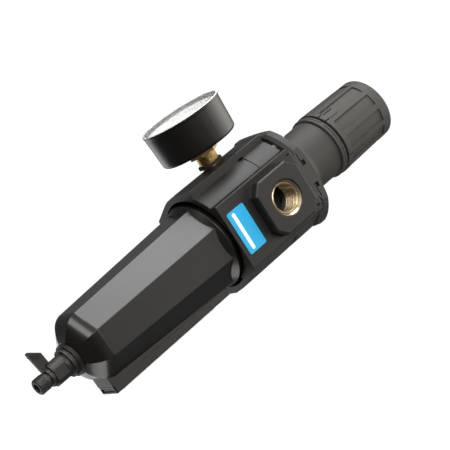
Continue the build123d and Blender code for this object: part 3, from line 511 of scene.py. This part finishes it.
def domeApothem(height):
    # Distance from the axis to a facet, from the crease down to the drain's seat.
    part = max(0.0, (bowlDome["crease"] - height) / (bowlDome["crease"] - bowlDome["bottom"]))
    fall = bowlDome["lean"] * part + (1 - bowlDome["lean"]) * part ** bowlDome["bend"]
    corner = bowlDome["creaseCorner"] + (bowlDome["bottomCorner"] - bowlDome["creaseCorner"]) * fall
    return corner * cos(bowlDome["facetTurn"] / 2)


def facetDistance(point):
    # How far out a point is, measured square to the facet that it belongs to.
    turns = [bowlDome["facetTurn"] * side for side in range(bowlDome["facets"])]
    return max(point.x * cos(turn) + point.y * sin(turn) for turn in turns)


def domePoint(point):
    # Where a point of the old dome goes; the window rail's seat keeps its own sides.
    before, after = facetDistance(point), domeApothem(point.z)
    aside = abs(point.x)
    if before < bowlDome["shell"] * after:
        return point
    margin = 2 * bowlDome["near"]
    if point.y > bowlDome["seatDepth"] and aside < bowlDome["seatHalf"] + margin:
        if before > bowlDome["seatFace"]:
            return point
        if aside > bowlDome["seatHalf"] - margin:
            # The seat's side meets the facet beyond it, which is turned by 45 degrees.
            return Vector((point.x, min(after, after * 2 ** 0.5 - aside), point.z))
    turn = atan2(point.y, point.x)
    corner = (floor(turn / bowlDome["facetTurn"]) + 0.5) * bowlDome["facetTurn"]
    if abs(turn - corner) * before < bowlDome["cornerSnap"]:
        reach = after / cos(bowlDome["facetTurn"] / 2)
        return Vector((reach * cos(corner), reach * sin(corner), point.z))
    return Vector((point.x * after / before, point.y * after / before, point.z))


def bowlShell():
    # The bowl with one crease round it, below which the eight facets curve in to the drain.
    mesh = bmesh.new()
    mesh.from_mesh(nodes["bowl"].data)
    bmesh.ops.remove_doubles(mesh, verts=mesh.verts, dist=0.001 * mm)
    depth = bowlDome["crease"] - bowlDome["bottom"]
    heights = [bowlDome["crease"] - depth * row / bowlDome["rows"] for row in range(bowlDome["rows"])]
    for height in [bowlDome["crease"] + bowlDome["runout"]] + heights:
        bmesh.ops.bisect_plane(mesh, geom=mesh.verts[:] + mesh.edges[:] + mesh.faces[:], dist=0.002 * mm,
                               plane_co=(0, 0, height), plane_no=(0, 0, 1))
    for vert in mesh.verts:
        if bowlDome["bottom"] - bowlDome["near"] <= vert.co.z <= bowlDome["crease"] + bowlDome["near"]:
            vert.co = domePoint(vert.co)
    bmesh.ops.remove_doubles(mesh, verts=mesh.verts, dist=bowlDome["near"])
    for edge in mesh.edges:
        isDome = max(vert.co.z for vert in edge.verts) <= bowlDome["crease"] + bowlDome["near"]
        limit = radians(bowlDome["domeSharp"] if isDome else bowlDome["sharp"])
        edge.smooth = len(edge.link_faces) == 2 and edge.calc_face_angle(0.0) < limit
    shell = keep(mesh, "bowlShell", "bowl_set", bowlBlack)
    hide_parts("bowl")


bowlShell()
print("bowl dressed")


def squashedSpring(node, name):
    # A copy of a coil spring, in steel wire, that rides on the housing.
    mesh = bmesh.new()
    mesh.from_mesh(nodes[node].data)
    coil = keep(mesh, name, "housing", wireSteel)
    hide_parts(node)
    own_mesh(coil)


squashedSpring("range_spring", "rangeCoil")
squashedSpring("valve_spring", "valveCoil")
print("springs made")


dialPrint = {"centre": (0.0, -66.0 * mm, -7.6 * mm), "proud": 0.08 * mm, "outer": 20.5 * mm,
             "major": 2.6 * mm, "minor": 1.4 * mm, "thick": 0.36 * mm, "thin": 0.16 * mm,
             "rim": 0.35 * mm, "rimSteps": 72, "numbers": [0, 2, 4, 6, 8, 10],
             "numberRadius": 13.2 * mm, "numberSize": 3.4 * mm, "first": 225.0, "sweep": 270.0,
             "fine": 50, "perMajor": 5}


def dialPlace():
    # Takes a flat drawing in X and Y to the dial's face.
    x, y, z = dialPrint["centre"]
    return Matrix.Translation((x, y - dialPrint["proud"], z)) @ Matrix.Rotation(pi / 2, 4, "X")


def dialMarks():
    # Ticks round the scale, and the arc that joins their outer ends.
    mesh = bmesh.new()
    for i in range(dialPrint["fine"] + 1):
        angle = radians(dialPrint["first"] - dialPrint["sweep"] * i / dialPrint["fine"])
        isMajor = i % dialPrint["perMajor"] == 0
        length = dialPrint["major"] if isMajor else dialPrint["minor"]
        width = dialPrint["thick"] if isMajor else dialPrint["thin"]
        tick = bmesh.ops.create_grid(mesh, x_segments=1, y_segments=1, size=0.5)["verts"]
        bmesh.ops.scale(mesh, vec=(length, width, 1), verts=tick)
        bmesh.ops.translate(mesh, vec=(dialPrint["outer"] - length / 2, 0, 0), verts=tick)
        bmesh.ops.rotate(mesh, cent=(0, 0, 0), matrix=Matrix.Rotation(angle, 3, "Z"), verts=tick)
    last = radians(dialPrint["first"] - dialPrint["sweep"])
    inner = mesh.verts.new((dialPrint["outer"], 0, 0))
    outer = mesh.verts.new((dialPrint["outer"] + dialPrint["rim"], 0, 0))
    rim = mesh.edges.new((inner, outer))
    bmesh.ops.rotate(mesh, cent=(0, 0, 0), matrix=Matrix.Rotation(last, 3, "Z"), verts=[inner, outer])
    bmesh.ops.spin(mesh, geom=[inner, outer, rim], axis=(0, 0, 1), cent=(0, 0, 0),
                   angle=radians(dialPrint["sweep"]), steps=dialPrint["rimSteps"], use_merge=False,
                   use_duplicate=False)
    bmesh.ops.transform(mesh, matrix=dialPlace(), verts=mesh.verts)
    keep(mesh, "dialMarks", "housing", inkAndGlare, smooth=False)


def dialNumbers():
    # Plain numbers inside the ring of ticks.
    for number in dialPrint["numbers"]:
        angle = radians(dialPrint["first"] - dialPrint["sweep"] * number / dialPrint["numbers"][-1])
        text = bpy.data.curves.new(f"dialNumber{number}", "FONT")
        text.body = str(number)
        text.size = dialPrint["numberSize"]
        text.align_x = "CENTER"
        text.align_y = "CENTER"
        text.resolution_u = 3
        flat = bpy.data.objects.new("flatText", text)
        bpy.context.scene.collection.objects.link(flat)
        bpy.context.view_layer.update()
        mesh = bmesh.new()
        mesh.from_mesh(bpy.data.meshes.new_from_object(flat))
        bpy.data.objects.remove(flat)
        place = (dialPrint["numberRadius"] * cos(angle), dialPrint["numberRadius"] * sin(angle), 0)
        bmesh.ops.translate(mesh, vec=place, verts=mesh.verts)
        bmesh.ops.transform(mesh, matrix=dialPlace(), verts=mesh.verts)
        keep(mesh, f"dialNumber{number}", "housing", inkAndGlare, smooth=False)


dialMarks()
dialNumbers()
print("dial printed")


# Studio

cameraSetup = {"place": (0.7759, -0.2053, -0.4991), "turn": (132.50, -40.90, 44.32), "lens": 123.3,
               "sensor": 36.0, "near": 0.01, "far": 50.0}
floorSetup = {"height": -1.5, "size": 90.0, "shade": 0.82, "mottle": 1.03, "glow": 0.9}
# The paper sweep glows behind the object; each stop is (how far towards it, brightness).
worldSetup = {"seen": 1.05, "behind": (-0.82, 0.21, 0.53),
              "stops": [(0.0, 0.07), (0.90, 0.12), (0.965, 0.25), (0.99, 0.7)]}
softLights = [
    {"name": "topPanel", "place": (0.18, -1.15, 0.78), "size": 1.2, "power": 5.6, "spread": 80.0,
     "tint": (1.0, 1.0, 1.0)},
    {"name": "overPanel", "place": (0.30, 0.3, 1.32), "size": 1.5, "power": 6.0, "spread": 90.0,
     "tint": (1.0, 0.97, 0.90)},
    {"name": "domePanel", "place": (0.27, -1.0, -0.60), "size": 0.55, "power": 1.0, "spread": 80.0,
     "tint": (1.0, 0.99, 0.95)},
    {"name": "sidePanel", "place": (1.15, 0.29, 0.74), "size": 1.0, "power": 1.1, "spread": 120.0,
     "tint": (1.0, 0.94, 0.86)},
    {"name": "lowPanel", "place": (-0.26, 1.07, -0.68), "size": 0.7, "power": 1.6, "spread": 120.0,
     "tint": (1.0, 0.97, 0.92)},
    {"name": "edgePanel", "place": (-1.3, 0.28, -0.25), "size": 0.8, "power": 1.6, "spread": 120.0,
     "tint": (1.0, 1.0, 1.0)},
    {"name": "frontPanel", "place": (1.25, -0.6, -0.15), "size": 0.6, "power": 7.5, "spread": 120.0,
     "tint": (1.0, 0.98, 0.95)},
]


def studioCamera():
    # Looks up at the object from below, as the photograph does.
    data = bpy.data.cameras.new("studioCamera")
    data.lens = cameraSetup["lens"]
    data.sensor_width = cameraSetup["sensor"]
    data.clip_start = cameraSetup["near"]
    data.clip_end = cameraSetup["far"]
    camera = bpy.data.objects.new("studioCamera", data)
    camera.location = cameraSetup["place"]
    camera.rotation_euler = Euler([radians(angle) for angle in cameraSetup["turn"]])
    bpy.context.scene.collection.objects.link(camera)
    bpy.context.scene.camera = camera


def studioFloor():
    # A pale paper floor, far below the object.
    mesh = bmesh.new()
    bmesh.ops.create_grid(mesh, x_segments=1, y_segments=1, size=floorSetup["size"] / 2)
    bmesh.ops.translate(mesh, vec=(0, 0, floorSetup["height"]), verts=mesh.verts)
    data = bpy.data.meshes.new("studioFloor")
    mesh.to_mesh(data)
    mesh.free()
    paper = bpy.data.objects.new("studioFloor", data)
    bpy.context.scene.collection.objects.link(paper)
    finish = Finish("floorPaper", {"Specular IOR Level": 0.2, "Emission Strength": floorSetup["glow"]})
    cloud = finish.noise(3.0, 2.0)
    dark = [floorSetup["shade"]] * 3
    pale = [floorSetup["shade"] * floorSetup["mottle"]] * 3
    color = finish.mix(cloud, opaque(dark), opaque(pale))
    data.materials.append(finish.surface(color=color, roughness=0.8 + cloud * 0.1, glow=color))
    # The floor stays out of the black paint's reflections and doesn't light it from below.
    paper.visible_glossy = False
    paper.visible_diffuse = False


def studioWorld():
    # White to the camera; to the object a dim room, with the sweep glowing behind it.
    world = bpy.data.worlds.new("studioWorld")
    world.use_nodes = True
    world.node_tree.nodes.clear()
    sky = Shading(world.node_tree)
    direction = sky.node("ShaderNodeTexCoord")["Generated"]
    towards = sky.node("ShaderNodeVectorMath", {"operation": "DOT_PRODUCT"},
                       {0: direction, 1: worldSetup["behind"]})["Value"]
    share = sky.node("ShaderNodeMapRange", {}, {"Value": towards, "From Min": -1.0})["Result"]
    stops = [(position, opaque([bright] * 3)) for position, bright in worldSetup["stops"]]
    glow = sky.node("ShaderNodeValToRGB", {"stops": stops}, {"Fac": share})["Color"]
    room = sky.node("ShaderNodeBackground", {}, {"Color": glow})["Background"]
    white = {"Color": opaque([1] * 3), "Strength": worldSetup["seen"]}
    seen = sky.node("ShaderNodeBackground", {}, white)["Background"]
    isCamera = sky.node("ShaderNodeLightPath")["Is Camera Ray"]
    mixed = sky.node("ShaderNodeMixShader", {}, {0: isCamera, 1: room, 2: seen})["Shader"]
    sky.node("ShaderNodeOutputWorld", {}, {"Surface": mixed})
    bpy.context.scene.world = world


def studioLight(setup):
    # A square soft panel that faces the origin.
    data = bpy.data.lights.new(setup["name"], "AREA")
    data.shape = "SQUARE"
    data.size = setup["size"]
    data.energy = setup["power"]
    data.color = setup["tint"]
    data.spread = radians(setup["spread"])
    light = bpy.data.objects.new(setup["name"], data)
    light.location = setup["place"]
    light.rotation_euler = (-Vector(setup["place"])).to_track_quat("-Z", "Y").to_euler()
    bpy.context.scene.collection.objects.link(light)


bpy.context.scene.view_settings.view_transform = "Standard"
studioCamera()
studioFloor()
studioWorld()
for setup in softLights:
    studioLight(setup)
print("studio made")
